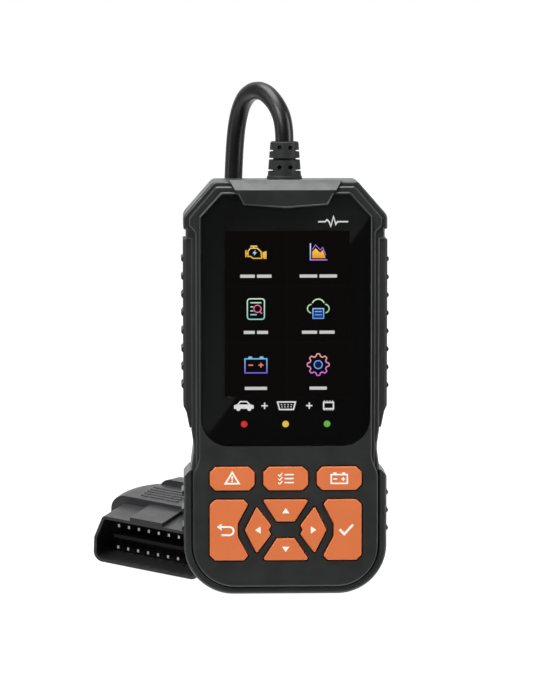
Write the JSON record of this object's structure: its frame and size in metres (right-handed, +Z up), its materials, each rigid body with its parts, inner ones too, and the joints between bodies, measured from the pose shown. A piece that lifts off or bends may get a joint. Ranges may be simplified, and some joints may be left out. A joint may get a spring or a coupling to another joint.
{
  "type": "diagnostic code reader",
  "caption": "Hand-held vehicle diagnostic code reader with a colour display, push keys, rubber grips and a cable to its diagnostic plug.",
  "frame": {"origin": "centre of the case's footprint, on the surface that its bottom edge stands on", "axes": "+Z up along the case, the front faces -Y, +X to the right seen from the front"},
  "size_m": [0.1038, 0.148, 0.1779],
  "materials": {
    "housing_plastic": "fine moulded texture",
    "cap_plastic": "satin",
    "grip_rubber": "matt, lightly textured",
    "lens_glass": "clear window with a gloss black border printed behind it",
    "foam": "closed-cell foam",
    "lcd_glass": "display glass",
    "frame_plastic": "white moulding",
    "board": "solder mask",
    "chip_plastic": "moulded epoxy",
    "steel_can": "plain",
    "capacitor_can": "plain",
    "nylon": "natural nylon",
    "lead_insulation": "PVC insulation",
    "silicone": "moulded silicone",
    "red_lamp": "tinted epoxy",
    "yellow_lamp": "tinted epoxy",
    "green_lamp": "tinted epoxy",
    "screw_steel": "black zinc",
    "plate_film": "blank satin film",
    "relief_rubber": "moulded PVC",
    "cable_jacket": "satin PVC",
    "tie_nylon": "nylon",
    "plug_plastic": "satin moulding",
    "overmold_plastic": "satin overmould",
    "pin_metal": "plated contacts",
    "key_plastic": "orange, satin"
  },
  "bodies": {
    "case": {"buzzer": "chip_plastic", "cable_coil": "cable_jacket", "cable_header": "nylon", "cable_lead": "cable_jacket", "cable_tail": "cable_jacket", "cable_tie": "tie_nylon", "capacitors": "capacitor_can", "crystal": "steel_can", "display_lens": "lens_glass", "front_housing": "housing_plastic", "green_led": "green_lamp", "header_plug": "nylon", "housing_screws": "screw_steel", "inner_leads": "lead_insulation", "keypad_membrane": "silicone", "lcd_frame": "frame_plastic", "lcd_gasket": "foam", "lcd_panel": "lcd_glass", "left_grip": "grip_rubber", "lower_bumper": "grip_rubber", "main_pcb": "board", "memory_chip": "chip_plastic", "pcb_screws": "screw_steel", "plug_insert": "plug_plastic", "plug_overmold": "overmold_plastic", "plug_pins": "pin_metal", "plug_shell": "plug_plastic", "plug_strain_relief": "relief_rubber", "power_inductor": "chip_plastic", "processor_chip": "chip_plastic", "rating_plate": "plate_film", "rear_housing": "housing_plastic", "red_led": "red_lamp", "right_grip": "grip_rubber", "strain_relief": "relief_rubber", "top_cap": "cap_plastic", "transceiver_chips": "chip_plastic", "yellow_led": "yellow_lamp"},
    "code_button": {"code_button": "key_plastic"},
    "monitor_button": {"monitor_button": "key_plastic"},
    "battery_button": {"battery_button": "key_plastic"},
    "exit_button": {"exit_button": "key_plastic"},
    "ok_button": {"ok_button": "key_plastic"},
    "up_button": {"up_button": "key_plastic"},
    "down_button": {"down_button": "key_plastic"},
    "left_button": {"left_button": "key_plastic"},
    "right_button": {"right_button": "key_plastic"}
  },
  "joints": [
    {"name": "code_button_press", "type": "slide", "parent": "case", "child": "code_button", "axis": [0, 1, 0], "range_m": [0, 0.001], "stiffness_N_per_m": 1200, "springref_m": -0.0003},
    {"name": "monitor_button_press", "type": "slide", "parent": "case", "child": "monitor_button", "axis": [0, 1, 0], "range_m": [0, 0.001], "stiffness_N_per_m": 1200, "springref_m": -0.0003},
    {"name": "battery_button_press", "type": "slide", "parent": "case", "child": "battery_button", "axis": [0, 1, 0], "range_m": [0, 0.001], "stiffness_N_per_m": 1200, "springref_m": -0.0003},
    {"name": "exit_button_press", "type": "slide", "parent": "case", "child": "exit_button", "axis": [0, 1, 0], "range_m": [0, 0.001], "stiffness_N_per_m": 1200, "springref_m": -0.0003},
    {"name": "ok_button_press", "type": "slide", "parent": "case", "child": "ok_button", "axis": [0, 1, 0], "range_m": [0, 0.001], "stiffness_N_per_m": 1200, "springref_m": -0.0003},
    {"name": "up_button_press", "type": "slide", "parent": "case", "child": "up_button", "axis": [0, 1, 0], "range_m": [0, 0.001], "stiffness_N_per_m": 1200, "springref_m": -0.0003},
    {"name": "down_button_press", "type": "slide", "parent": "case", "child": "down_button", "axis": [0, 1, 0], "range_m": [0, 0.001], "stiffness_N_per_m": 1200, "springref_m": -0.0003},
    {"name": "left_button_press", "type": "slide", "parent": "case", "child": "left_button", "axis": [0, 1, 0], "range_m": [0, 0.001], "stiffness_N_per_m": 1200, "springref_m": -0.0003},
    {"name": "right_button_press", "type": "slide", "parent": "case", "child": "right_button", "axis": [0, 1, 0], "range_m": [0, 0.001], "stiffness_N_per_m": 1200, "springref_m": -0.0003}
  ]
}
